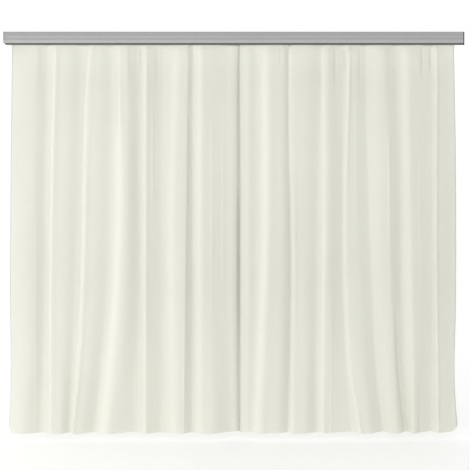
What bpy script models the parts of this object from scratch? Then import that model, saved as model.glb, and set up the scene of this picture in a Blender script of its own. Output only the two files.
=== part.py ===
"""A pair of sheer curtains under a ceiling rail with a fascia, at real size in metres, +Z up.

The curtains face -Y. The origin is on the rail's ceiling face, above the slot in which the gliders
run, at the middle of the rail's length. Each curtain is one sheet in its hanging folds, with a tape
sewn along the back of its heading and gliders that carry the tape at the folds' rear points.
"""

import math

import bmesh
import bpy

MM = 0.001
GAP = 0.3 * MM  # left between pieces that touch
COLLECTION = "Pair of curtains"

# Rail: a flat ceiling bar with one T-slot in its underside, above the folds' rear points
RAIL_LENGTH = 2800 * MM
CAP_THICKNESS = 6 * MM
TRACK_FRONT = -105.7 * MM
TRACK_BACK = 20 * MM
TRACK_HEIGHT = 14 * MM
SLOT_ROOF = 2.5 * MM
SLOT_LIP = 2.5 * MM
SLOT_HALF_WIDTH = 5 * MM
MOUTH_HALF_WIDTH = 2.2 * MM

# Fascia: a strip on the rail's front edge, with a groove and a lower band that leans forwards
FASCIA_FRONT = -110 * MM
FASCIA_BACK = TRACK_FRONT - GAP
FASCIA_HEIGHT = 69 * MM
GROOVE_TOP = 40.5 * MM
GROOVE_WIDTH = 3 * MM
GROOVE_DEPTH = 1 * MM
LEAN = 1 * MM

# Lip: a dark strip under the fascia, with an upstand that clips behind it
LIP_BOTTOM = 80 * MM
LIP_FRONT = -108.5 * MM
LIP_BACK = -103.6 * MM
LIP_UPSTAND_TOP = 50 * MM
LIP_CORNER = 10 * MM  # cut off the lower left corner
LEFT_CAP_BOTTOM = 68 * MM

# Cloth
CLOTH_TOP = -22 * MM
HEADING_FOOT = -94 * MM  # the folds run straight down from the top to here
HEM_EDGE = -2457 * MM
CLOTH = 1.5 * MM
HEM = 3.0 * MM  # cloth turned over and sewn down, so twice as thick
HEM_HEIGHT = 52 * MM
SIDE_HEM = 28 * MM
HEM_STEP = 2 * MM  # over which the sheet thickens into its hem
SIDE_STATION = 10 * MM  # a first column near each side, for the rounded lower corner
CORNER_RISE = (12 * MM, 3 * MM)  # of the hem's edge at the side and at that first column
STEPS = 4  # columns from one fold line to the next
ROWS = ((HEADING_FOOT, 8), (-1640 * MM, 3), (-2100 * MM, 4))  # from this height, rows down to the next

# Heading tapes
TAPE = 1.0 * MM
TAPE_TOP = -26 * MM
TAPE_BOTTOM = -56 * MM

# Gliders, as seen from the side
GLIDER_WIDTH = 8 * MM
HEAD_HALF_WIDTH = 4.4 * MM
HEAD_HEIGHT = 3 * MM
NECK_HALF_WIDTH = 1.6 * MM
FOOT_BOTTOM = -19 * MM
TONGUE = 2 * MM
TONGUE_BOTTOM = -50 * MM
REAR_POINT = 3 * MM  # how far the folds' rear points stand forward of the slot at the heading
SIDE_GLIDER_INSET = 4.5 * MM

# Heights at which the fold tables give a line's place across, and its stand forward of the slot
ACROSS_LEVELS = (-94, -835, -1640, -2100, -2457)
FORWARD_LEVELS = (-94, -1640, -2457)

# Each row is a fold line, from left to right, in millimetres: its kind, its place across at the
# five heights, how far forward it stands at the three heights, and the share of the way from the
# line before it at which the cloth is steepest. At the heading a trough stands REAR_POINT forward,
# and an edge stands a hem's second thickness further, so that the backs of both are in line.
LEFT_FOLDS = (
    # kind      head   upper  middle lower  hem    head mid hem  steep
    ("edge",   -1373, -1384, -1390, -1380, -1394, 4.5,  10,  10, 0.50),
    ("crest",  -1245, -1262, -1266, -1280, -1306,  30,  40,  62, 0.30),
    ("trough", -1160, -1168, -1174, -1180, -1188,   3,  14,  20, 0.60),
    ("crest",  -1085, -1093, -1098, -1098, -1098,  26,  36,  64, 0.52),
    ("trough",  -946,  -960,  -985, -1006, -1030,   3,  16,  26, 0.80),
    ("crest",   -866,  -898,  -915,  -950,  -988,  24,  36,  60, 0.60),
    ("trough",  -763,  -766,  -790,  -828,  -866,   3,  14,  15, 0.65),
    ("crest",   -674,  -656,  -670,  -712,  -764,  34,  40,  56, 0.50),
    ("trough",  -589,  -586,  -586,  -598,  -610,   3,   7,  15, 0.53),
    ("crest",   -533,  -536,  -538,  -534,  -534,  32,  38,  55, 0.60),
    ("trough",  -440,  -446,  -440,  -440,  -446,   3,  10,  15, 0.50),
    ("crest",   -284,  -292,  -300,  -304,  -310,  31,  47,  56, 0.45),
    ("trough",  -260,  -270,  -276,  -270,  -264,   3,   8,  18, 0.42),
    ("crest",   -183,  -183,  -170,  -152,  -133,  30,  40,  55, 0.36),
    ("trough",   -17,   -17,   -17,   -11,    -5, 3.5,   2,   5, 0.50),
    ("margin",    42,    42,    42,    42,    39,  -8, -14,  -4, 0.50),
)
RIGHT_FOLDS = (
    # kind      head   upper  middle lower  hem    head mid hem  steep
    ("edge",      29,    36,    37,    36,    36, 4.5,  28,  12, 0.50),
    ("crest",     75,    75,    72,    70,    70,  14,  34,  22, 0.35),
    ("dip",      125,   125,   119,   104,    98,  12,  32,  20, 0.50),
    ("crest",    247,   238,   222,   210,   186,  40,  52,  50, 0.50),
    ("trough",   349,   346,   352,   344,   339,   3,   6,  12, 0.80),
    ("crest",    388,   388,   392,   404,   398,  26,  36,  52, 0.30),
    ("trough",   548,   527,   518,   510,   510,   3,  11,  17, 0.68),
    ("crest",    585,   591,   585,   579,   566,  26,  38,  40, 0.50),
    ("trough",   681,   678,   681,   700,   728,   3,   2,  12, 0.42),
    ("crest",    726,   714,   726,   763,   812,  24,  33,  52, 0.40),
    ("trough",   821,   833,   864,   889,   927,   3,   4,   3, 0.62),
    ("crest",    922,   947,   968,   984,  1008,  30,  42,  50, 0.35),
    ("trough",  1013,  1032,  1040,  1056,  1080,   3,   5,   5, 0.50),
    ("crest",   1094,  1097,  1107,  1108,  1098,  26,  38,  48, 0.50),
    ("trough",  1231,  1231,  1231,  1231,  1225,   3,   9,   0, 0.50),
    ("crest",   1257,  1251,  1251,  1257,  1257,  22,  31,  34, 0.50),
    ("edge",    1369,  1381,  1381,  1369,  1388, 4.5,   5,   2, 0.70),
)


def clear_scene():
    """Removes every object, so that the script gives the same model in any open file."""
    for thing in list(bpy.data.objects):
        bpy.data.objects.remove(thing, do_unlink=True)


def finish(name, colour, roughness, metallic=0.0):
    """A plain material."""
    material = bpy.data.materials.new(name)
    material.use_nodes = True
    shader = material.node_tree.nodes["Principled BSDF"]
    shader.inputs["Base Color"].default_value = (*colour, 1.0)
    shader.inputs["Roughness"].default_value = roughness
    shader.inputs["Metallic"].default_value = metallic
    material.diffuse_color = (*colour, 1.0)
    return material


def add(name, data, material, collection, parent):
    """Puts an object into the model, under its parent."""
    thing = bpy.data.objects.new(name, data)
    if not data.materials:
        data.materials.append(material)
    collection.objects.link(thing)
    thing.parent = parent
    return thing


def section(name, outline, length):
    """A flat outline of (y, z) points, drawn out along X over length."""
    curve = bpy.data.curves.new(name, "CURVE")
    curve.dimensions = "2D"
    curve.fill_mode = "BOTH"
    curve.extrude = length / 2
    spline = curve.splines.new("POLY")
    spline.points.add(len(outline) - 1)
    for point, (y, z) in zip(spline.points, outline):
        point.co = (y, z, 0.0, 1.0)
    spline.use_cyclic_u = True
    return curve


def place_section(thing, x):
    """Turns a section's outline upright, across X, and moves its middle to x."""
    thing.rotation_euler = (math.radians(90), 0.0, math.radians(90))
    thing.location = (x, 0.0, 0.0)


def track_outline():
    """The ceiling bar's section, round its T-slot."""
    roof = -SLOT_ROOF
    bottom = -TRACK_HEIGHT
    lip = bottom + SLOT_LIP
    return (
        (TRACK_FRONT, 0.0),
        (TRACK_FRONT, bottom),
        (-MOUTH_HALF_WIDTH, bottom),
        (-MOUTH_HALF_WIDTH, lip),
        (-SLOT_HALF_WIDTH, lip),
        (-SLOT_HALF_WIDTH, roof),
        (SLOT_HALF_WIDTH, roof),
        (SLOT_HALF_WIDTH, lip),
        (MOUTH_HALF_WIDTH, lip),
        (MOUTH_HALF_WIDTH, bottom),
        (TRACK_BACK, bottom),
        (TRACK_BACK, 0.0),
    )


def fascia_outline():
    """The fascia's section: an upright band, a groove, and a band that leans forwards."""
    groove_bottom = GROOVE_TOP + GROOVE_WIDTH
    return (
        (FASCIA_FRONT, 0.0),
        (FASCIA_FRONT, -GROOVE_TOP),
        (FASCIA_FRONT + GROOVE_DEPTH, -GROOVE_TOP),
        (FASCIA_FRONT + GROOVE_DEPTH, -groove_bottom),
        (FASCIA_FRONT, -groove_bottom),
        (FASCIA_FRONT - LEAN, -FASCIA_HEIGHT),
        (FASCIA_BACK, -FASCIA_HEIGHT),
        (FASCIA_BACK, 0.0),
    )


def lip_outline():
    """The lip's section: a foot under the fascia and an upstand behind it."""
    foot_top = -FASCIA_HEIGHT - GAP
    upstand_front = FASCIA_BACK + GAP
    return (
        (LIP_FRONT, foot_top),
        (LIP_FRONT, -LIP_BOTTOM),
        (LIP_BACK, -LIP_BOTTOM),
        (LIP_BACK, -LIP_UPSTAND_TOP),
        (upstand_front, -LIP_UPSTAND_TOP),
        (upstand_front, foot_top),
    )


def cap_outline(bottom):
    """An end cap's outline: it closes the track's end and the fascia's."""
    front = FASCIA_FRONT - LEAN
    return (
        (front, 0.0),
        (front, -bottom),
        (LIP_BACK, -bottom),
        (LIP_BACK, -TRACK_HEIGHT),
        (TRACK_BACK, -TRACK_HEIGHT),
        (TRACK_BACK, 0.0),
    )


def glider_outline():
    """A glider from the side: a head in the slot, a neck, and a tongue behind the tape."""
    head_bottom = -TRACK_HEIGHT + SLOT_LIP + GAP
    head_top = head_bottom + HEAD_HEIGHT
    tongue_front = -REAR_POINT + CLOTH + GAP + TAPE + GAP
    return (
        (-HEAD_HALF_WIDTH, head_top),
        (-HEAD_HALF_WIDTH, head_bottom),
        (-NECK_HALF_WIDTH, head_bottom),
        (-NECK_HALF_WIDTH, FOOT_BOTTOM),
        (tongue_front, FOOT_BOTTOM),
        (tongue_front, TONGUE_BOTTOM),
        (tongue_front + TONGUE, TONGUE_BOTTOM),
        (tongue_front + TONGUE, FOOT_BOTTOM),
        (NECK_HALF_WIDTH, FOOT_BOTTOM),
        (NECK_HALF_WIDTH, head_bottom),
        (HEAD_HALF_WIDTH, head_bottom),
        (HEAD_HALF_WIDTH, head_top),
    )


def eased(levels, values, height):
    """A smooth curve through values at falling levels, level beyond either end."""
    if height >= levels[0]:
        return values[0]
    if height <= levels[-1]:
        return values[-1]
    last = len(levels) - 1
    slopes = []
    for i in range(len(levels)):
        before = max(i - 1, 0)
        after = min(i + 1, last)
        slopes.append((values[after] - values[before]) / (levels[after] - levels[before]))
    i = next(k for k in range(last) if levels[k + 1] <= height)
    span = levels[i + 1] - levels[i]
    t = (height - levels[i]) / span
    start = values[i] * (1 + 2 * t) * (1 - t) ** 2 + slopes[i] * span * t * (1 - t) ** 2
    end = values[i + 1] * t * t * (3 - 2 * t) - slopes[i + 1] * span * t * t * (1 - t)
    return start + end


def fold_lines(folds, z):
    """Each fold line at height z, in metres: its place across, its stand forward, its steep share."""
    height = z / MM
    lines = []
    for row in folds:
        across = eased(ACROSS_LEVELS, row[1:6], height) * MM
        forward = eased(FORWARD_LEVELS, row[6:9], height) * MM
        lines.append((across, forward, row[9]))
    return lines


def bend(steep):
    """The power that puts the steepest point of an eased rise at this share of its way."""
    return math.log(0.5) / math.log(steep)


def stand_forward(lines, x):
    """How far the cloth stands forward of the slot at x."""
    for (x0, forward0, _), (x1, forward1, steep) in zip(lines, lines[1:]):
        if x <= x1:
            t = (max(x - x0, 0.0) / (x1 - x0)) ** bend(steep)
            return forward0 + (forward1 - forward0) * t * t * (3 - 2 * t)
    return lines[-1][1]


def columns(lines):
    """Where the sheet's columns lie across: at the sides, at the side hems and along each fold."""
    left = lines[0][0]
    right = lines[-1][0]
    inner_left = left + SIDE_HEM + HEM_STEP
    inner_right = right - SIDE_HEM - HEM_STEP
    places = [left, left + SIDE_STATION, left + SIDE_HEM]
    for (x0, _, _), (x1, _, steep) in zip(lines, lines[1:]):
        start = max(x0, inner_left)
        stop = min(x1, inner_right)
        for k in range(STEPS):
            share = (k / STEPS) ** (1 / bend(steep))
            places.append(start + (stop - start) * share)
    places += [inner_right, right - SIDE_HEM, right - SIDE_STATION, right]
    return places


def rows():
    """The heights of the sheet's rows, from the hem's edge up."""
    hem_top = HEM_EDGE + HEM_HEIGHT
    heights = [CLOTH_TOP]
    stops = [start for start, _ in ROWS[1:]] + [hem_top + HEM_STEP]
    for (start, count), stop in zip(ROWS, stops):
        for k in range(count):
            heights.append(start + (stop - start) * k / count)
    heights += [hem_top + HEM_STEP, hem_top, HEM_EDGE + HEM_HEIGHT / 2, HEM_EDGE]
    return heights[::-1]


def sheet(heights, folds, place):
    """An upright grid facing -Y, whose vertices place() puts on the folds, row by row."""
    across = len(columns(fold_lines(folds, CLOTH_TOP)))
    mesh_data = bmesh.new()
    bmesh.ops.create_grid(
        mesh_data, x_segments=across - 1, y_segments=len(heights) - 1, size=0.5
    )
    layout = [columns(fold_lines(folds, z)) for z in heights]
    where = {}
    for vertex in mesh_data.verts:
        column = round((vertex.co.x + 0.5) * (across - 1))
        row = round((vertex.co.y + 0.5) * (len(heights) - 1))
        where[vertex] = (column, row)
        vertex.co = place(layout[row][column], heights[row], column, across)
    mesh_data.normal_update()
    return mesh_data, where, across


def panel_mesh(name, folds):
    """A curtain's front face, and the vertices that lie on its hems."""
    heights = rows()

    def place(x, z, column, across):
        lines = fold_lines(folds, z)
        from_side = min(column, across - 1 - column)
        if z == HEM_EDGE and from_side < len(CORNER_RISE):
            z += CORNER_RISE[from_side]
        return (x, -stand_forward(lines, x), z)

    mesh_data, where, across = sheet(heights, folds, place)
    hem_top = HEM_EDGE + HEM_HEIGHT
    turned = []
    mesh_data.verts.index_update()
    for vertex, (column, row) in where.items():
        at_side = min(column, across - 1 - column) < 3
        if at_side or heights[row] <= hem_top:
            turned.append(vertex.index)
    mesh = bpy.data.meshes.new(name)
    mesh_data.to_mesh(mesh)
    mesh_data.free()
    return mesh, turned


def thicken(thing, thickness):
    """Gives an open sheet its thickness, behind its front face."""
    solidify = thing.modifiers.new("thickness", "SOLIDIFY")
    solidify.thickness = thickness
    solidify.offset = -1.0
    return solidify


def add_panel(name, folds, material, collection, parent):
    """One curtain: a sheet in its folds, twice as thick along its lower and side hems."""
    mesh, turned = panel_mesh(name, folds)
    thing = add(name, mesh, material, collection, parent)
    hems = thing.vertex_groups.new(name="hems")
    hems.add(turned, 1.0, "REPLACE")
    solidify = thicken(thing, HEM)
    solidify.vertex_group = hems.name
    solidify.thickness_vertex_group = CLOTH / HEM
    mesh.shade_smooth()
    return thing


def add_tape(name, folds, material, collection, parent):
    """A heading tape, which follows the back of its curtain from side to side."""

    def place(x, z, column, across):
        return (x, -stand_forward(fold_lines(folds, z), x), z)

    mesh_data, where, across = sheet((TAPE_BOTTOM, TAPE_TOP), folds, place)
    behind = {}
    for vertex, (column, _) in where.items():
        cloth = HEM if min(column, across - 1 - column) < 3 else CLOTH
        behind[vertex] = vertex.co - vertex.normal * (cloth + GAP)
    for vertex, point in behind.items():
        vertex.co = point
    mesh = bpy.data.meshes.new(name)
    mesh_data.to_mesh(mesh)
    mesh_data.free()
    thing = add(name, mesh, material, collection, parent)
    thicken(thing, TAPE)
    mesh.shade_smooth()
    return thing


def glider_places(folds):
    """Where gliders carry a curtain: at its rear points, and just inside an edge at the back."""
    places = []
    for i, row in enumerate(folds):
        x = row[1] * MM
        if row[0] == "trough":
            places.append(x)
        if row[0] == "edge":
            places.append(x + SIDE_GLIDER_INSET * (1 if i == 0 else -1))
    return places


def add_gliders(side, folds, outline_curve, material, collection, parent):
    """A row of like gliders along a curtain's heading."""
    for number, x in enumerate(glider_places(folds), start=1):
        glider = add(f"glider_{side}_{number}", outline_curve, material, collection, parent)
        place_section(glider, x)


def add_rail(collection, parent):
    """The ceiling bar, its fascia, the lip under the fascia and the caps at the ends."""
    plastic = finish("white plastic", (0.86, 0.86, 0.84), 0.45)
    metal = finish("brushed aluminium", (0.46, 0.46, 0.46), 0.38, 0.9)
    dark = finish("dark edging", (0.10, 0.10, 0.09), 0.55)
    half = RAIL_LENGTH / 2
    between_caps = RAIL_LENGTH - 2 * (CAP_THICKNESS + GAP)
    for name, outline, material in (
        ("track", track_outline(), plastic),
        ("fascia", fascia_outline(), metal),
    ):
        thing = add(name, section(name, outline, between_caps), material, collection, parent)
        place_section(thing, 0.0)
    add_lip(between_caps, dark, collection, parent)
    for name, sign, bottom, material in (
        ("end_cap_left", -1, LEFT_CAP_BOTTOM, metal),
        ("end_cap_right", 1, LIP_BOTTOM, dark),
    ):
        cap = section(name, cap_outline(bottom), CAP_THICKNESS)
        thing = add(name, cap, material, collection, parent)
        place_section(thing, sign * (half - CAP_THICKNESS / 2))


def add_lip(length, material, collection, parent):
    """The lip, with its lower left corner cut off at a slant."""
    outline_curve = section("lip", lip_outline(), length)
    drawn = add("lip_drawn", outline_curve, material, collection, parent)
    place_section(drawn, 0.0)
    bpy.context.view_layer.update()
    mesh = bpy.data.meshes.new_from_object(
        drawn.evaluated_get(bpy.context.evaluated_depsgraph_get())
    )
    placed = drawn.matrix_world.copy()
    bpy.data.objects.remove(drawn, do_unlink=True)
    mesh_data = bmesh.new()
    mesh_data.from_mesh(mesh)
    bmesh.ops.remove_doubles(mesh_data, verts=mesh_data.verts, dist=0.00001)
    for vertex in mesh_data.verts:
        point = placed @ vertex.co
        if point.x < 0.0 and point.z < -LIP_BOTTOM + GAP:
            point.x += LIP_CORNER
        vertex.co = point
    mesh_data.to_mesh(mesh)
    mesh_data.free()
    add("lower_lip", mesh, material, collection, parent)


def build():
    """Builds the whole part."""
    clear_scene()
    collection = bpy.data.collections.new(COLLECTION)
    bpy.context.scene.collection.children.link(collection)
    origin = bpy.data.objects.new("rail_origin", None)
    collection.objects.link(origin)
    add_rail(collection, origin)
    cloth = finish("sheer ivory cloth", (0.80, 0.80, 0.70), 0.9)
    webbing = finish("heading webbing", (0.84, 0.84, 0.80), 0.85)
    plastic = finish("glider plastic", (0.90, 0.90, 0.88), 0.4)
    outline_curve = section("glider", glider_outline(), GLIDER_WIDTH)
    for side, folds in (("left", LEFT_FOLDS), ("right", RIGHT_FOLDS)):
        add_panel(f"panel_{side}", folds, cloth, collection, origin)
        add_tape(f"heading_tape_{side}", folds, webbing, collection, origin)
        add_gliders(side, folds, outline_curve, plastic, collection, origin)


build()
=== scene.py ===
import math

import bmesh
import bpy
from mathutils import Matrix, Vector


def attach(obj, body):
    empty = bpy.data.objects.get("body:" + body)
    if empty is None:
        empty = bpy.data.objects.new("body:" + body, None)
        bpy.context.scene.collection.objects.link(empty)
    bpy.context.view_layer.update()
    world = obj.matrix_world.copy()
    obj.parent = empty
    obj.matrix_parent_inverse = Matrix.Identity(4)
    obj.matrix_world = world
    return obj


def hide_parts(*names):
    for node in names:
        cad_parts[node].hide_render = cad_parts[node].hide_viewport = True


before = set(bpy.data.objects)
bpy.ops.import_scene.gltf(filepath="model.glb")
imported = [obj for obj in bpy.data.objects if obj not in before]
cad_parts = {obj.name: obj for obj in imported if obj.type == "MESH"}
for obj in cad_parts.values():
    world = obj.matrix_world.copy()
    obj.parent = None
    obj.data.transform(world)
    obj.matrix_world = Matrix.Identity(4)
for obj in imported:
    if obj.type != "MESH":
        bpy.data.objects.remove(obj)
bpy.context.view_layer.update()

MM = 0.001

# Cloth: heights below the ceiling face, thicknesses, hems and the flat size of each curtain
CLOTH_TOP = -22 * MM
HEM_EDGE = -2457 * MM
CLOTH = 1.0 * MM
HEM = 2.2 * MM
HEM_HEIGHT = 52 * MM
SIDE_HEM = 28 * MM
DROP = CLOTH_TOP - HEM_EDGE
FLAT_WIDTH = {"left": 1.56, "right": 1.48}
CORNER_RADIUS = {"left": (42 * MM, 8 * MM), "right": (8 * MM, 48 * MM)}  # left and right corner
CORNER_REACH = 120 * MM  # height over which a rounded corner lifts the rows above it
MAP_SIZE = 2.5  # metres of cloth across the whole of its map

# Columns and rows of the fine sheets
COLUMN_PITCH = 3.4 * MM
LEAST_COLUMNS = 3  # in a span between two fold lines
ARC_STEPS = 16  # used to measure a span's length
MEASURED_LEVELS = (-94, -835, -1640, -2457)  # mm, where the spans are measured
ROW_BANDS = ((-22, -142, 12), (-142, -2390, 66), (-2390, -2457, 12))  # mm from, to, rows

CLOTH_SHARP = math.radians(50)  # sharper edges than this stay crisp

# Heading tape, behind the cloth
TAPE_GAP = 0.1 * MM
TAPE = 1.0 * MM
TAPE_CORD = 1.8 * MM
TAPE_TOP = -26 * MM
TAPE_BOTTOM = -56 * MM
TAPE_ROWS = 13
CORD_ROWS = (3, 9)  # where the tape's two drawn cords thicken it

# Stitches
STITCH_PITCH = 5 * MM
STITCH_SHARE = 0.7
STITCH_WIDTH = 0.9 * MM
STITCH_INSET = 2 * MM  # from the hem's inner edge

# Rail: its length, caps and roundings
RAIL_HALF = 1400 * MM
CAP = 6 * MM
CAP_GAP = 0.3 * MM
CAP_ROUNDING = 0.7 * MM
FASCIA_ROUNDING = 0.35 * MM
ROUNDED_FROM = math.radians(25)  # edges that turn more than this are rounded
RAIL_SHARP = math.radians(35)  # sharper edges than this stay crisp

# Rail's sections, in mm: places forward (negative) or back, and depths below the ceiling face
FASCIA_FACE = -110
FASCIA_BACK = -106
FASCIA_FOOT = 69
BEAD_TOP = 26
BEAD_BOTTOM = 39
BEAD_OUT = 0.4
BEAD_STEPS = 8
BEAD_HIGHLIGHT_REACH = 8  # above and below its middle, over which it is painted lighter, as a highlight on the bead
GROOVE_TOP = 40.5
GROOVE_FOOT = 43.5
GROOVE_DEPTH = 1
GROOVE_EASE = 0.4
LEAN = 1  # of the lower band, forwards
LEAN_FOOT = 65
# where the painted shade along the fascia's foot begins
SHADED_FOOT_TOP = 63
CAP_FRONT = -111
CAP_STEP = -103.6  # the back of a cap's front part, which closes the fascia's end
CAP_FOOT = {"left": 68, "right": 80}
TRACK_FOOT = 14
TRACK_BACK = 20

# Stage
FLOOR_HEIGHT = -2500 * MM  # 43 mm under the hems
FLOOR_SIZE = 150.0
ROOM_LIGHT = 1.04
LAMPS = (
    # name, place, size across in metres, power in watts
    ("side_lamp", (-7.3, -4.7, -2.0), 3.5, 375.0),
    ("front_lamp", (-2.6, -5.6, -2.2), 3.0, 70.0),
)
LAMP_AIM = (0.0, 0.0, -1.3)
CAMERA_PLACE = (0.0076, -4.310, -1.2346)
SENSOR_WIDTH = 36.0
FOCAL_PIXELS = 691.9  # the lens, in pixels of the photograph
PHOTO_WIDTH = 470

# Heights at which the fold tables give a line's place across, and its stand forward of the slot
ACROSS_LEVELS = (-94, -835, -1640, -2100, -2457)
FORWARD_LEVELS = (-94, -1640, -2457)

# Each row is a fold line, from left to right, in millimetres: its place across at the five heights,
# how far forward it stands at the three heights, and the share of the way from the line before it at
# which the cloth is steepest
FOLDS = {
    "left": (
        #  head  upper middle lower   hem    head mid  hem  steep
        (-1380, -1388, -1391, -1386, -1396,   4.5,   6,   7, 0.50),
        (-1245, -1262, -1266, -1280, -1306,    22,  46,  60, 0.30),
        (-1160, -1168, -1174, -1180, -1188,     3,  16,  25, 0.60),
        (-1085, -1093, -1098, -1098, -1098,    23,  36,  64, 0.52),
        ( -946,  -960,  -985, -1002, -1020,     3,  17,  28, 0.70),
        ( -866,  -898,  -915,  -950,  -988,    21,  36,  60, 0.66),
        ( -763,  -766,  -790,  -828,  -866,     3,  14,  15, 0.65),
        ( -674,  -656,  -670,  -712,  -764,    31,  40,  50, 0.50),
        ( -589,  -586,  -586,  -598,  -610,     3,   7,  15, 0.53),
        ( -533,  -536,  -538,  -534,  -534,    29,  38,  51, 0.60),
        ( -440,  -446,  -440,  -440,  -446,     3,  12,  22, 0.50),
        ( -284,  -292,  -300,  -304,  -310,    23,  47,  53, 0.45),
        ( -260,  -270,  -276,  -270,  -264,     3,   8,  21, 0.42),
        ( -183,  -183,  -170,  -152,  -133,    30,  40,  55, 0.36),
        (  -17,   -17,   -17,   -11,    -5,   3.5,   2,   5, 0.50),
        (   42,    42,    42,    42,    39,    -8, -14,  -4, 0.50),
    ),
    "right": (
        #  head  upper middle lower   hem    head mid  hem  steep
        (   29,    36,    37,    36,    36,   4.5,  28,  12, 0.50),
        (   75,    75,    72,    70,    70,    14,  34,  22, 0.35),
        (  125,   125,   119,   104,    98,    12,  32,  20, 0.50),
        (  247,   238,   222,   210,   186,    33,  50,  46, 0.50),
        (  349,   354,   358,   344,   337,     3,   9,  15, 0.79),
        (  388,   388,   392,   404,   398,    26,  36,  52, 0.30),
        (  548,   527,   518,   510,   510,     3,  11,  17, 0.68),
        (  585,   591,   585,   579,   566,    26,  38,  40, 0.50),
        (  681,   678,   681,   700,   728,     3,   2,  12, 0.42),
        (  726,   714,   726,   763,   812,    24,  33,  52, 0.40),
        (  821,   833,   864,   889,   927,     3,   4,   3, 0.62),
        (  922,   947,   968,   984,  1008,    30,  42,  50, 0.35),
        ( 1013,  1032,  1040,  1056,  1080,     3,   5,   5, 0.50),
        ( 1094,  1097,  1107,  1108,  1098,    26,  38,  48, 0.50),
        ( 1231,  1231,  1231,  1231,  1225,     3,   9,   0, 0.50),
        ( 1257,  1251,  1251,  1257,  1257,    22,  34,  34, 0.50),
        ( 1371,  1383,  1383,  1374,  1393,   4.5,   4,   2, 0.50),
    ),
}

# Each row is a finer crease, in millimetres: how far it stands out, or in where negative, the half
# widths of its left and right slopes, its places across at even steps down it, and the heights of its
# upper and lower ends
CREASES = {
    "left": (
        (   9,   8,  20, (-1104, -1128, -1129), -56, -2457),
        (   8,   9,  22, (-886, -913, -922, -927, -938, -960, -990), -56, -2457),
        (   7,   8,  16, (-708, -703, -700), -56, -1000),
        (  10,  34,  50, (-690, -702, -788), -450, -2457),
        (  11,   7,  24, (-549, -552, -549), -56, -2457),
        ( 2.5,   6,   8, (-503,), -250, -1500),
        (   6,  30,  40, (-345, -370, -358), -56, -2457),
        (   6,  20,  30, (-200, -204, -200), -56, -2457),
        (   3,   6,   6, (-305,), -1600, -2457),
        (   2,   6,   6, (-1220,), -1000, -2457),
        (   2,   8,  10, (-135,), -400, -2300),
        (   2,   8,  10, (-67,), -400, -2300),
        (  -3,   8,   9, (-642, -638), -56, -330),
        (  -6,   7,   7, (-576,), -56, -260),
        (  -2,   9,  10, (-477,), -56, -400),
        (  -2,  10,  12, (-252,), -56, -330),
        (  -2,  10,  12, (-1197,), -56, -330),
        (  -3,   6,   5, (-1134,), -56, -250),
        (  -7,   9,   9, (33,), -56, -2457),
        ( -10,   9,   9, (32,), -900, -2200),
    ),
    "right": (
        (   5,  20,  34, (92,), -56, -2457),
        (   9,  28,  45, (206, 209, 157), -56, -2457),
        (  11,   7,  20, (350, 352, 365, 363, 361), -56, -2457),
        (   8,  11,  17, (563, 563, 549), -56, -2457),
        (   3,   6,   6, (603,), -1500, -2457),
        (  10,   8,  14, (716, 706, 694, 693, 699, 722, 782), -56, -2457),
        (   2,   7,   9, (759,), -250, -1500),
        (   2,  30,  40, (892, 904, 976), -56, -2457),
        (   4,   7,   6, (961,), -500, -1700),
        (   5,  20,  26, (1069, 1087, 1112), -56, -2457),
        ( 2.5,   5,   5, (1154,), -600, -1900),
        (   9,   8,  12, (1257, 1251, 1262), -56, -2457),
        (  -3,   7,   7, (290,), -56, -220),
        (  -1,   6,   6, (332,), -56, -220),
        (  -6,   8,  10, (629,), -56, -350),
        (  -7,   7,   7, (693,), -56, -260),
        (  -3,   8,   9, (783,), -56, -400),
        (  -2,   9,  10, (963,), -56, -400),
        (  -8,   7,   8, (1170,), -56, -260),
        (  -7,   8,   8, (1226,), -56, -280),
        (  -3,   8,   9, (1149,), -2000, -2457),
        (  -7,   8,  10, (1002, 1014, 1058), -1600, -2457),
    ),
}
# Painted highlight by each crease that stands out, and painted shade by each that sinks in
FOLD_LIGHT_FULL_OUT = 8  # mm by which a crease stands out when its painted highlight or shade is at full strength
FOLD_LIGHT_SHIFT = 0.6  # share of its left slope by which the painted line lies left of its crease, on the slope that faces the lamps
FOLD_LIGHT_SPREAD = 0.8  # the painted line's half width: this share of its left slope, plus the mm given next
FOLD_LIGHT_LEAST = 2
CREASE_HEAD = -60  # a crease that begins above this begins at the heading
HEAD_FADE = 30  # mm over which a crease grows at the heading, and elsewhere
FADE = 260
FOOT_FADE = 0.6  # share of its length over which a short crease dies away
LONG_FOOT = -2400  # a crease that ends below this runs through the hem


# Folds and creases

def eased(levels, values, height):
    """A smooth curve through values at falling levels, level beyond either end."""
    if height >= levels[0]:
        return values[0]
    if height <= levels[-1]:
        return values[-1]
    last = len(levels) - 1
    slopes = []
    for i in range(len(levels)):
        before = max(i - 1, 0)
        after = min(i + 1, last)
        slopes.append((values[after] - values[before]) / (levels[after] - levels[before]))
    i = next(k for k in range(last) if levels[k + 1] <= height)
    span = levels[i + 1] - levels[i]
    t = (height - levels[i]) / span
    start = values[i] * (1 + 2 * t) * (1 - t) ** 2 + slopes[i] * span * t * (1 - t) ** 2
    end = values[i + 1] * t * t * (3 - 2 * t) - slopes[i + 1] * span * t * t * (1 - t)
    return start + end


def smooth(t):
    """0 up to 0, 1 from 1 on, and an eased rise between."""
    t = min(max(t, 0.0), 1.0)
    return t * t * (3 - 2 * t)


def fold_lines(side, z):
    """Each fold line at height z: its place across, its stand forward and its power of rise."""
    height = z / MM
    lines = []
    for row in FOLDS[side]:
        across = eased(ACROSS_LEVELS, row[0:5], height) * MM
        forward = eased(FORWARD_LEVELS, row[5:8], height) * MM
        lines.append((across, forward, math.log(0.5) / math.log(row[8])))
    return lines


def rise(start, end, share):
    """How far forward the cloth stands between two fold lines, at this share of the way."""
    return start[1] + (end[1] - start[1]) * smooth(share ** end[2])


def crease_strength(top, foot, height):
    """How much of a crease shows at this height, from 0 to 1."""
    if not foot <= height < top:
        return 0.0
    strength = smooth((top - height) / (HEAD_FADE if top > CREASE_HEAD else FADE))
    if foot > LONG_FOOT:
        strength *= smooth((height - foot) / (FOOT_FADE * (top - foot)))
    return strength


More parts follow.
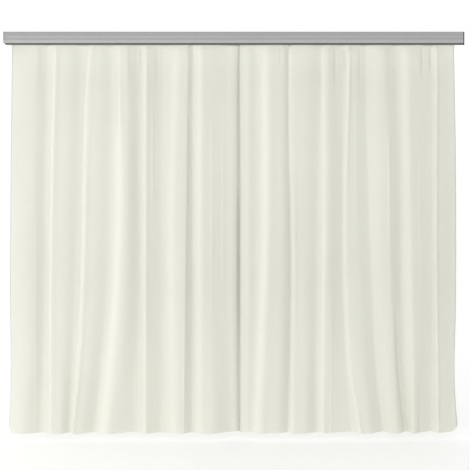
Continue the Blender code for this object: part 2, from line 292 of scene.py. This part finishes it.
def crease_place(places, top, foot, height):
    """How far across a crease lies at this height."""
    last = len(places) - 1
    if not last:
        return places[0]
    return eased([top + (foot - top) * k / last for k in range(last + 1)], places, height)


def crease_at(side, x, z):
    """How far the finer creases move the cloth forward at x, z."""
    height = z / MM
    across = x / MM
    total = 0.0
    for out, left, right, places, top, foot in CREASES[side]:
        strength = crease_strength(top, foot, height)
        if not strength:
            continue
        place = crease_place(places, top, foot, height)
        away = (across - place) / (left if across < place else right)
        total += out * strength * math.exp(-away * away)
    return total * MM


def crest_at(side, x, z):
    """How much painted highlight the creases put on the cloth here, or painted shade where negative.
    """
    height = z / MM
    across = x / MM
    total = 0.0
    for out, left, _, places, top, foot in CREASES[side]:
        strength = crease_strength(top, foot, height)
        if not strength:
            continue
        place = crease_place(places, top, foot, height)
        away = (across - place + FOLD_LIGHT_SHIFT * left) / (FOLD_LIGHT_SPREAD * left + FOLD_LIGHT_LEAST)
        total += out / FOLD_LIGHT_FULL_OUT * strength * math.exp(-away * away)
    return total


# Sheets of cloth

def row_heights():
    """The flat heights of a curtain's rows, from its hem's edge up."""
    heights = []
    for start, stop, count in ROW_BANDS:
        heights += [start + (stop - start) * k / count for k in range(count)]
    heights.append(ROW_BANDS[-1][1])
    return [z * MM for z in reversed(heights)]


def span_shares(start, end, count):
    """The shares of a span at which count equal lengths of its cloth begin."""
    lengths = [0.0]
    before = rise(start, end, 0.0)
    step = (end[0] - start[0]) / ARC_STEPS
    for k in range(1, ARC_STEPS + 1):
        here = rise(start, end, k / ARC_STEPS)
        lengths.append(lengths[-1] + math.hypot(step, here - before))
        before = here
    shares = []
    k = 0
    for n in range(count):
        wanted = lengths[-1] * n / count
        while lengths[k + 1] < wanted:
            k += 1
        part = (wanted - lengths[k]) / (lengths[k + 1] - lengths[k])
        shares.append((k + part) / ARC_STEPS)
    return shares, lengths[-1]


def span_counts(side):
    """How many columns each span between two fold lines takes, and where each column lies flat."""
    samples = [fold_lines(side, z * MM) for z in MEASURED_LEVELS]
    counts = []
    lengths = []
    for i in range(len(samples[0]) - 1):
        mean = sum(span_shares(s[i], s[i + 1], 1)[1] for s in samples) / len(samples)
        counts.append(max(LEAST_COLUMNS, round(mean / COLUMN_PITCH)))
        lengths.append(mean)
    stretch = FLAT_WIDTH[side] / sum(lengths)
    flat = []
    place = 0.0
    for count, length in zip(counts, lengths):
        flat += [place + length * stretch * n / count for n in range(count)]
        place += length * stretch
    flat.append(place)
    return counts, flat


def row_points(side, counts, z):
    """The places across and forward of a curtain's columns at height z."""
    lines = fold_lines(side, z)
    points = []
    for i, count in enumerate(counts):
        start, end = lines[i], lines[i + 1]
        for share in span_shares(start, end, count)[0]:
            points.append((start[0] + (end[0] - start[0]) * share, rise(start, end, share)))
    points.append(lines[-1][:2])
    return [(x, forward + crease_at(side, x, z)) for x, forward in points]


def corner_rise(from_side, radius):
    """How far the hem's edge climbs round its lower corner, this far from the side."""
    if from_side >= radius:
        return 0.0
    return radius - math.sqrt(radius ** 2 - (radius - from_side) ** 2)


def grid(columns, rows):
    """A flat grid, and the column and row of each of its vertices."""
    made = bmesh.new()
    bmesh.ops.create_grid(made, x_segments=columns - 1, y_segments=rows - 1, size=0.5)
    where = {}
    for vertex in made.verts:
        column = round((vertex.co.x + 0.5) * (columns - 1))
        row = round((vertex.co.y + 0.5) * (rows - 1))
        where[vertex] = (column, row)
    return made, where


def thickened(name, made, thickness, shares, values):
    """Makes a sheet's front face a thin solid, thickness[0] to thickness[1] thick by its shares."""
    made.verts.index_update()
    mesh = bpy.data.meshes.new(name)
    made.to_mesh(mesh)
    made.free()
    thing = bpy.data.objects.new(name, mesh)
    bpy.context.scene.collection.objects.link(thing)
    group = thing.vertex_groups.new(name="thick")
    for index, share in enumerate(shares):
        if share > 0:
            group.add([index], share, "REPLACE")
    for title, numbers in values.items():
        attribute = mesh.attributes.new(title, "FLOAT", "POINT")
        attribute.data.foreach_set("value", numbers)
    solidify = thing.modifiers.new("thickness", "SOLIDIFY")
    solidify.thickness = thickness[1]
    solidify.offset = -1.0
    solidify.vertex_group = group.name
    solidify.thickness_vertex_group = thickness[0] / thickness[1]
    solid = bpy.data.meshes.new_from_object(
        thing.evaluated_get(bpy.context.evaluated_depsgraph_get())
    )
    thing.modifiers.clear()
    thing.data = solid
    bpy.data.meshes.remove(mesh)
    solid.shade_smooth()
    solid.set_sharp_from_angle(angle=CLOTH_SHARP)
    return thing


def lay_map(made, flat_place):
    """Gives each face corner its place on the flat cloth, as a share of MAP_SIZE."""
    layer = made.loops.layers.uv.new("flat")
    for face in made.faces:
        for loop in face.loops:
            u, v = flat_place[loop.vert]
            loop[layer].uv = (u / MAP_SIZE, v / MAP_SIZE)


def make_curtain(side):
    """A curtain as one thin sheet on its folds, twice as thick along its hems."""
    counts, flat = span_counts(side)
    heights = row_heights()
    layout = [row_points(side, counts, z) for z in heights]
    made, where = grid(len(flat), len(heights))
    width = flat[-1]
    left_radius, right_radius = CORNER_RADIUS[side]
    flat_place = {}
    shares = []
    from_side = []
    from_hem = []
    crest = []
    for vertex, (column, row) in where.items():
        x, forward = layout[row][column]
        z = heights[row]
        above = z - HEM_EDGE
        to_left = flat[column]
        to_right = width - flat[column]
        lift = corner_rise(to_left, left_radius) + corner_rise(to_right, right_radius)
        z += lift * max(0.0, 1 - above / CORNER_REACH)
        vertex.co = (x, -forward, z)
        flat_place[vertex] = (flat[column], above)
        side_way = min(to_left, to_right)
        shares.append(1.0 if above <= HEM_HEIGHT or side_way <= SIDE_HEM else 0.0)
        from_side.append(side_way)
        from_hem.append(above)
        # painted highlight and shade along the creases, kept on the cloth for its colour
        crest.append(crest_at(side, x, heights[row]))
    lay_map(made, flat_place)
    made.normal_update()
    values = {"from_side": from_side, "from_hem": from_hem, "crest": crest}
    return thickened(f"curtain_{side}", made, (CLOTH, HEM), shares, values)


def make_tape(side):
    """A heading tape on the back of its curtain, with two drawn cords woven into it."""
    counts, flat = span_counts(side)
    step = (TAPE_TOP - TAPE_BOTTOM) / (TAPE_ROWS - 1)
    heights = [TAPE_BOTTOM + step * k for k in range(TAPE_ROWS)]
    layout = [row_points(side, counts, z) for z in heights]
    made, where = grid(len(flat), TAPE_ROWS)
    flat_place = {}
    for vertex, (column, row) in where.items():
        x, forward = layout[row][column]
        vertex.co = (x, -forward, heights[row])
        flat_place[vertex] = (flat[column], heights[row] - TAPE_BOTTOM)
    made.normal_update()
    shares = []
    behind = {}
    for vertex, (column, row) in where.items():
        side_way = min(flat[column], flat[-1] - flat[column])
        cloth = HEM if side_way <= SIDE_HEM else CLOTH
        behind[vertex] = vertex.co - vertex.normal * (cloth + TAPE_GAP)
        shares.append(1.0 if row in CORD_ROWS else 0.0)
    for vertex, point in behind.items():
        vertex.co = point
    lay_map(made, flat_place)
    return thickened(f"tape_{side}", made, (TAPE, TAPE_CORD), shares, {})


# Finishes

# Tones of the cloth, and how far they reach
IVORY = (0.79, 0.79, 0.737)
DARK_THREAD = (0.775, 0.775, 0.722)
LIGHT_THREAD = (0.840, 0.840, 0.788)
# painted highlight along the creases that stand out, painted shade along those that sink in
PAINTED_HIGHLIGHT_TONE = (0.90, 0.90, 0.855)
PAINTED_SHADE_TONE = (0.64, 0.64, 0.58)
FLOOR_LIGHT_TONE = (0.90, 0.90, 0.85)
FLOOR_LIGHT_REACH = 900 * MM  # how far up the lower part is painted lighter, as light from the floor
# Painted light on the heading, against the shade that falls on it under the fascia
HEADING_LIGHT_TONE = (0.93, 0.93, 0.88)
HEADING_LIGHT_FADE = 290 * MM  # how far down the heading is painted lighter
HEADING_LIGHT_FALL = 0.8  # share of that height over which this falls from its most
HEADING_LIGHT_END = 1390 * MM  # the painted light fades over a last stretch towards the left end, where less shade falls
HEADING_LIGHT_END_REACH = 160 * MM
EDGE_SHADE_TONE = (0.55, 0.55, 0.50)
EDGE_SHADE_REACH = 9 * MM  # how far in from its side the cloth is painted darker, as shade along its edge
STITCH_TONE = (0.86, 0.86, 0.81)
THREAD_PITCH = 1.6 * MM

# Tape
TAPE_TONE = (0.84, 0.84, 0.80)
RIB_PITCH = 2.2 * MM
POCKET_PITCH = 14 * MM
POCKET_SHARE = 0.06  # half the share of a pocket's pitch that its darker slit takes


class Value:
    """A number that changes over a surface. Arithmetic on it adds Math nodes."""

    def __init__(self, tree, socket):
        self.tree = tree
        self.socket = socket

    def maths(self, operation, *values):
        node = self.tree.nodes.new("ShaderNodeMath")
        node.operation = operation
        for place, value in zip(node.inputs, values):
            if isinstance(value, Value):
                self.tree.links.new(value.socket, place)
            else:
                place.default_value = value
        return Value(self.tree, node.outputs[0])

    def __add__(self, other):
        return self.maths("ADD", self, other)

    def __sub__(self, other):
        return self.maths("SUBTRACT", self, other)

    def __rsub__(self, other):
        return self.maths("SUBTRACT", other, self)

    def __mul__(self, other):
        return self.maths("MULTIPLY", self, other)

    def __truediv__(self, other):
        return self.maths("DIVIDE", self, other)

    __radd__ = __add__
    __rmul__ = __mul__

    def limited(self, low, high):
        return self.maths("MINIMUM", self.maths("MAXIMUM", self, low), high)

    def below(self, edge):
        return self.maths("LESS_THAN", self, edge)

    def wave(self):
        return self.maths("SINE", self)

    def size(self):
        return self.maths("ABSOLUTE", self)

    def part(self):
        return self.maths("FRACT", self)


class Finish:
    """A material with one Principled surface, and the nodes that feed it."""

    def __init__(self, name, colour, roughness, metallic=0.0):
        self.material = bpy.data.materials.new(name)
        self.material.use_nodes = True
        self.material.diffuse_color = (*colour, 1.0)
        self.tree = self.material.node_tree
        self.surface = self.tree.nodes["Principled BSDF"]
        self.set("Base Color", (*colour, 1.0))
        self.set("Roughness", roughness)
        self.set("Metallic", metallic)

    def set(self, socket, value):
        self.surface.inputs[socket].default_value = value

    def feed(self, socket, source):
        self.tree.links.new(getattr(source, "socket", source), self.surface.inputs[socket])

    def node(self, kind, settings, inputs):
        """Adds a node: its settings first, then the values or links of its sockets."""
        made = self.tree.nodes.new(kind)
        for name, value in settings.items():
            setattr(made, name, value)
        for name, value in inputs.items():
            if isinstance(value, Value):
                self.tree.links.new(value.socket, made.inputs[name])
            elif isinstance(value, bpy.types.NodeSocket):
                self.tree.links.new(value, made.inputs[name])
            else:
                made.inputs[name].default_value = value
        return made

    def number(self, node, output):
        return Value(self.tree, node.outputs[output])

    def attribute(self, name):
        node = self.node("ShaderNodeAttribute", {"attribute_name": name}, {})
        return self.number(node, "Fac")

    def flat_place(self):
        """The place on the flat cloth, in metres."""
        source = self.node("ShaderNodeUVMap", {"uv_map": "flat"}, {})
        parts = self.node("ShaderNodeSeparateXYZ", {}, {"Vector": source.outputs["UV"]})
        return self.number(parts, "X") * MAP_SIZE, self.number(parts, "Y") * MAP_SIZE

    def object_place(self):
        source = self.node("ShaderNodeTexCoord", {}, {})
        parts = self.node("ShaderNodeSeparateXYZ", {}, {"Vector": source.outputs["Object"]})
        return [self.number(parts, axis) for axis in "XYZ"]

    def noise(self, x, y, z, detail=2.0, roughness=0.5):
        """A noise of about 0 to 1 round 0.5, at coordinates given in its own grains."""
        place = self.node("ShaderNodeCombineXYZ", {}, {"X": x, "Y": y, "Z": z})
        made = self.node(
            "ShaderNodeTexNoise",
            {"noise_dimensions": "3D"},
            {
                "Vector": place.outputs["Vector"],
                "Scale": 1.0,
                "Detail": detail,
                "Roughness": roughness,
            },
        )
        return self.number(made, 0)

    def mixed(self, share, first, second):
        """A colour between two others."""
        node = self.node(
            "ShaderNodeMix", {"data_type": "RGBA"}, {0: share, 6: first, 7: second}
        )
        return node.outputs[2]

    def bumped(self, height, distance, strength):
        node = self.node(
            "ShaderNodeBump", {}, {"Height": height, "Distance": distance, "Strength": strength}
        )
        self.feed("Normal", node.outputs["Normal"])


def rgb(colour):
    return (*colour, 1.0)


def grey(level):
    return (level, level, level, 1.0)


def stitches(along, away):
    """A row of stitches: dashes along one way, where the distance from their line is small."""
    dash = (along / STITCH_PITCH).part().below(STITCH_SHARE)
    return away.size().below(STITCH_WIDTH / 2) * dash


def woven(finish, u, v):
    """The cloth's threads: how light each is, and how far it stands up."""
    warp = finish.noise(u * 700, v * 9, 0.0, detail=3.0)
    weft = finish.noise(u * 12, v * 500, 7.0)
    broad = finish.noise(u * 6, v * 1.5, 3.0)
    threads = (u * (2 * math.pi / THREAD_PITCH)).wave() + (v * (2 * math.pi / THREAD_PITCH)).wave()
    streaks = (warp - 0.5) * 0.9 + (weft - 0.5) * 0.5 + (broad - 0.5) * 0.5 + threads * 0.03
    return (streaks + 0.5).limited(0.0, 1.0), warp * 0.5 + weft * 0.3 + threads * 0.08


def heading_light_mask(finish, from_hem):
    """How much painted light the heading gets against the fascia's shade: 1 at the heading, 0 lower
    down and at the rail's left end.
    """
    from_top = DROP - from_hem
    fall = ((HEADING_LIGHT_FADE - from_top) / (HEADING_LIGHT_FADE * HEADING_LIGHT_FALL)).limited(0.0, 1.0)
    x = finish.object_place()[0]
    return fall * fall * ((x + HEADING_LIGHT_END) / HEADING_LIGHT_END_REACH).limited(0.0, 1.0)


def cloth_tone(finish, share, heading_light, from_side, from_hem):
    """The threads' colour, with painted highlight and shade along the creases, painted light near the
    hem and on the heading, and painted shade along the sides.
    """
    crest = finish.attribute("crest")
    # painted light from the floor, strongest at the hem
    low = (1.0 - from_hem / FLOOR_LIGHT_REACH).limited(0.0, 1.0)
    # painted shade along the cloth's sides
    edge = (1.0 - from_side / EDGE_SHADE_REACH).limited(0.0, 1.0)
    tints = (
        (crest.limited(0.0, 1.2) * 0.4, PAINTED_HIGHLIGHT_TONE),
        ((0.0 - crest).limited(0.0, 1.2) * 0.3, PAINTED_SHADE_TONE),
        (low * 0.32, FLOOR_LIGHT_TONE),
        (heading_light * 0.76, HEADING_LIGHT_TONE),
        (edge * 0.7, EDGE_SHADE_TONE),
    )
    colour = finish.mixed(share, rgb(DARK_THREAD), rgb(LIGHT_THREAD))
    for amount, tone in tints:
        colour = finish.mixed(amount, colour, rgb(tone))
    return colour


def lit_through(finish, colour, share):
    """Lets this share of the light through from behind."""
    through = finish.node("ShaderNodeBsdfTranslucent", {}, {"Color": colour})
    both = finish.node("ShaderNodeMixShader", {}, {0: share})
    finish.tree.links.new(finish.surface.outputs[0], both.inputs[1])
    finish.tree.links.new(through.outputs[0], both.inputs[2])
    output = finish.tree.nodes["Material Output"]
    finish.tree.links.new(both.outputs[0], output.inputs["Surface"])


def sheer_cloth():
    """Sheer ivory cloth: uneven threads both ways, stitched hems, and light from behind."""
    finish = Finish("sheer ivory cloth", IVORY, 0.85)
    u, v = finish.flat_place()
    from_side = finish.attribute("from_side")
    from_hem = finish.attribute("from_hem")
    share, relief = woven(finish, u, v)
    # painted light on the heading, which also lets a little more light through there
    heading_light = heading_light_mask(finish, from_hem)
    hem = (from_hem.below(HEM_HEIGHT) + from_side.below(SIDE_HEM)).limited(0.0, 1.0)
    sewn = stitches(u, from_hem - (HEM_HEIGHT - STITCH_INSET))
    sewn = sewn + stitches(v, from_side - (SIDE_HEM - STITCH_INSET))
    sewn = sewn.limited(0.0, 1.0)
    colour = cloth_tone(finish, share, heading_light, from_side, from_hem)
    colour = finish.mixed(sewn * 0.7, colour, rgb(STITCH_TONE))
    finish.feed("Base Color", colour)
    finish.bumped(relief + sewn * 0.5, 0.8 * MM, 0.5)
    lit_through(finish, colour, 0.66 + heading_light * 0.05 - hem * 0.03)
    return finish.material


def heading_webbing():
    """Off-white woven tape, ribbed across, with pockets side by side."""
    finish = Finish("heading webbing", TAPE_TONE, 0.85)
    u, v = finish.flat_place()
    ribs = (u * (2 * math.pi / RIB_PITCH)).wave()
    pockets = ((u / POCKET_PITCH).part() - 0.5).size().below(POCKET_SHARE)
    noise = finish.noise(u * 300, v * 300, 0.0)
    share = (noise * 0.6 + ribs * 0.1 + 0.2).limited(0.0, 1.0)
    colour = finish.mixed(share, rgb((0.74, 0.74, 0.69)), rgb((0.88, 0.88, 0.85)))
    colour = finish.mixed(pockets * 0.5, colour, rgb((0.60, 0.60, 0.55)))
    finish.feed("Base Color", colour)
    finish.bumped(ribs * 0.5 + noise * 0.4 - pockets, 0.6 * MM, 0.6)
    return finish.material


def brushed_metal():
    """Grey metal brushed along the rail, with a painted highlight on its bead, painted light on its
    lower band and towards the right, and painted shade along its foot.
    """
    finish = Finish("brushed metal", (0.40, 0.40, 0.40), 0.65, 0.35)
    x, y, z = finish.object_place()
    streaks = finish.noise(x * 11, y * 400, z * 400, detail=4.0, roughness=0.65)
    fine = finish.noise(x * 60, y * 2500, z * 2500)
    share = (streaks * 0.75 + fine * 0.25).limited(0.0, 1.0)
    depth = (0.0 - z) / MM
    # painted highlight on the bead
    bead = 1.0 - ((depth - (BEAD_TOP + BEAD_BOTTOM) / 2) / BEAD_HIGHLIGHT_REACH).size().limited(0.0, 1.0)
    # painted light on the lower band, growing towards its foot, where the band leans to face a little
    # upwards
    band_light = ((depth - GROOVE_FOOT) / (SHADED_FOOT_TOP - GROOVE_FOOT)).limited(0.0, 1.0)
    # painted shade along the fascia's foot
    edge = ((depth - SHADED_FOOT_TOP) / (FASCIA_FOOT - SHADED_FOOT_TOP)).limited(0.0, 1.0)
    # painted light, lighter towards the right end, evening out the lamps at the left
    along = (x / (2 * RAIL_HALF) + 0.5).limited(0.0, 1.0)
    tints = (
        (bead * 0.35, grey(0.42)),
        (band_light * 0.55, rgb((0.465, 0.45, 0.455))),
        (edge * 0.7, grey(0.23)),
        (along * 0.19, grey(0.62)),
    )
    colour = finish.mixed(share, grey(0.21), grey(0.37))
    for amount, tone in tints:
        colour = finish.mixed(amount, colour, tone)
    finish.feed("Base Color", colour)
    finish.feed("Roughness", share * 0.2 + 0.55)
    finish.bumped(fine * 0.5 + streaks * 0.5, 0.4 * MM, 0.3)
    return finish.material


def moulded_plastic(name, dark, light, roughness):
    """Plain moulded plastic with a faint grain."""
    finish = Finish(name, light, roughness)
    x, y, z = finish.object_place()
    broad = finish.noise(x * 8, y * 30, z * 30)
    grain = finish.noise(x * 900, y * 900, z * 900, detail=1.0)
    share = (broad * 0.6 + grain * 0.4).limited(0.0, 1.0)
    finish.feed("Base Color", finish.mixed(share, rgb(dark), rgb(light)))
    finish.feed("Roughness", share * 0.15 + (roughness - 0.07))
    finish.bumped(grain, 0.3 * MM, 0.25)
    return finish.material


def floor_finish():
    """A plain pale floor."""
    finish = Finish("pale floor", (0.93, 0.93, 0.93), 0.8)
    x, y = finish.object_place()[:2]
    share = finish.noise(x * 3, y * 3, 0.0)
    finish.feed("Base Color", finish.mixed(share, grey(0.95), grey(0.965)))
    return finish.material


# The pieces

def dress(thing, material):
    """Puts one material on a piece or a CAD node."""
    thing.data.materials.clear()
    thing.data.materials.append(material)


def glider_names(side):
    return [f"glider_{side}_{n}" for n in range(1, 9)]


def hang_curtains():
    """Both curtains and the tapes on their backs."""
    cloth = sheer_cloth()
    webbing = heading_webbing()
    for side in ("left", "right"):
        tape = make_tape(side)
        dress(tape, webbing)
        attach(tape, "root")
        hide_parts(f"heading_tape_{side}")
        curtain = make_curtain(side)
        dress(curtain, cloth)
        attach(curtain, "root")
        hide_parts(f"panel_{side}")


def strip(name, outline, start, stop, rounding):
    """A solid strip along X with this section of forward and height, its long edges rounded."""
    made = bmesh.new()
    corners = [made.verts.new((start, y * MM, z * MM)) for y, z in outline]
    face = made.faces.new(corners)
    grown = bmesh.ops.extrude_face_region(made, geom=[face])
    far = [part for part in grown["geom"] if isinstance(part, bmesh.types.BMVert)]
    bmesh.ops.translate(made, verts=far, vec=(stop - start, 0.0, 0.0))
    bmesh.ops.recalc_face_normals(made, faces=made.faces)
    sharp = [edge for edge in made.edges if edge.calc_face_angle(0.0) > ROUNDED_FROM]
    bmesh.ops.bevel(
        made,
        geom=sharp,
        offset=rounding,
        offset_type="OFFSET",
        segments=2,
        profile=0.5,
        affect="EDGES",
        material=-1,
        clamp_overlap=True,
    )
    mesh = bpy.data.meshes.new(name)
    made.to_mesh(mesh)
    made.free()
    mesh.shade_smooth()
    mesh.set_sharp_from_angle(angle=RAIL_SHARP)
    thing = bpy.data.objects.new(name, mesh)
    bpy.context.scene.collection.objects.link(thing)
    return thing


def make_fascia():
    """The fascia, with its bead, groove and leaning lower band."""
    bead = []
    for k in range(BEAD_STEPS + 1):
        turn = math.pi * k / BEAD_STEPS
        height = -BEAD_TOP - (BEAD_BOTTOM - BEAD_TOP) * k / BEAD_STEPS
        bead.append((FASCIA_FACE - BEAD_OUT * math.sin(turn), height))
    groove = FASCIA_FACE + GROOVE_DEPTH
    outline = [(FASCIA_FACE, 0)] + bead + [
        (FASCIA_FACE, -GROOVE_TOP),
        (groove, -GROOVE_TOP - GROOVE_EASE),
        (groove, -GROOVE_FOOT + GROOVE_EASE),
        (FASCIA_FACE, -GROOVE_FOOT),
        (FASCIA_FACE - LEAN, -LEAN_FOOT),
        (FASCIA_FACE - 0.6 * LEAN, -FASCIA_FOOT),
        (FASCIA_BACK, -FASCIA_FOOT),
        (FASCIA_BACK, 0),
    ]
    half = RAIL_HALF - CAP - CAP_GAP
    return strip("fascia_strip", outline, -half, half, FASCIA_ROUNDING)


def make_cap(side):
    """An end cap that closes the track's end and the fascia's, with eased edges."""
    bottom = CAP_FOOT[side]
    outline = (
        (CAP_FRONT, 0),
        (CAP_FRONT, -bottom),
        (CAP_STEP, -bottom),
        (CAP_STEP, -TRACK_FOOT),
        (TRACK_BACK, -TRACK_FOOT),
        (TRACK_BACK, 0),
    )
    outer = -RAIL_HALF if side == "left" else RAIL_HALF
    inner = outer + CAP if side == "left" else outer - CAP
    return strip(f"cap_{side}", outline, min(outer, inner), max(outer, inner), CAP_ROUNDING)


def finish_rail():
    """The fascia and its caps, and better materials on the rail's own solids and on the gliders."""
    metal = brushed_metal()
    plastic = moulded_plastic("track plastic", (0.80, 0.80, 0.78), (0.88, 0.88, 0.86), 0.42)
    glider = moulded_plastic("glider plastic", (0.86, 0.86, 0.84), (0.92, 0.92, 0.90), 0.36)
    # a real lip, darkened as painted shade along the rail's underside
    edging = moulded_plastic("dark edging", (0.075, 0.075, 0.07), (0.11, 0.11, 0.10), 0.5)
    # the right cap darkened as painted shade on the rail's end away from the lamps; the left cap
    # keeps the metal
    capping = moulded_plastic("dark capping", (0.04, 0.04, 0.04), (0.065, 0.065, 0.06), 0.5)
    rail_pieces = (
        (make_fascia(), "fascia", "fascia_metal", metal),
        (make_cap("left"), "end_cap_left", "fascia_metal", metal),
        # painted shade: the right cap in dark plastic
        (make_cap("right"), "end_cap_right", "dark_edging", capping),
    )
    for piece, node, slot, material in rail_pieces:
        dress(piece, material)
        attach(piece, "root")
        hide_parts(node)
    dress(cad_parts["track"], plastic)
    # painted shade: the lip dark as the shade under the rail
    dress(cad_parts["lower_lip"], edging)
    for side in ("left", "right"):
        for name in glider_names(side):
            dress(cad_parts[name], glider)


# The stage

def lay_floor():
    """A plain pale floor under the hems."""
    made = bmesh.new()
    bmesh.ops.create_grid(made, x_segments=1, y_segments=1, size=FLOOR_SIZE)
    for vertex in made.verts:
        vertex.co.z = FLOOR_HEIGHT
    mesh = bpy.data.meshes.new("floor")
    made.to_mesh(mesh)
    made.free()
    floor = bpy.data.objects.new("floor", mesh)
    bpy.context.scene.collection.objects.link(floor)
    dress(floor, floor_finish())


def light_room():
    """A white room, and two soft lamps at the left in front."""
    world = bpy.data.worlds.new("white room")
    bpy.context.scene.world = world
    world.use_nodes = True
    background = world.node_tree.nodes["Background"]
    background.inputs["Color"].default_value = (1.0, 1.0, 1.0, 1.0)
    background.inputs["Strength"].default_value = ROOM_LIGHT
    for name, place, size, power in LAMPS:
        soft_lamp(name, place, size, power)


def soft_lamp(name, place, size, power):
    """A round soft lamp, aimed at the middle of the curtains."""
    lamp = bpy.data.lights.new(name, "AREA")
    lamp.shape = "DISK"
    lamp.size = size
    lamp.energy = power
    thing = bpy.data.objects.new(name, lamp)
    thing.location = place
    direction = Vector(LAMP_AIM) - thing.location
    thing.rotation_euler = direction.to_track_quat("-Z", "Y").to_euler()
    bpy.context.scene.collection.objects.link(thing)


def place_camera():
    """The camera at the photograph's place, level and looking along +Y."""
    data = bpy.data.cameras.new("camera")
    data.sensor_width = SENSOR_WIDTH
    data.lens = SENSOR_WIDTH * FOCAL_PIXELS / PHOTO_WIDTH
    camera = bpy.data.objects.new("camera", data)
    camera.location = CAMERA_PLACE
    camera.rotation_euler = (math.radians(90), 0.0, 0.0)
    bpy.context.scene.collection.objects.link(camera)
    bpy.context.scene.camera = camera


def build():
    """Dresses the part and sets the stage."""
    hang_curtains()
    finish_rail()
    lay_floor()
    light_room()
    place_camera()
    bpy.context.scene.view_settings.view_transform = "Standard"


build()
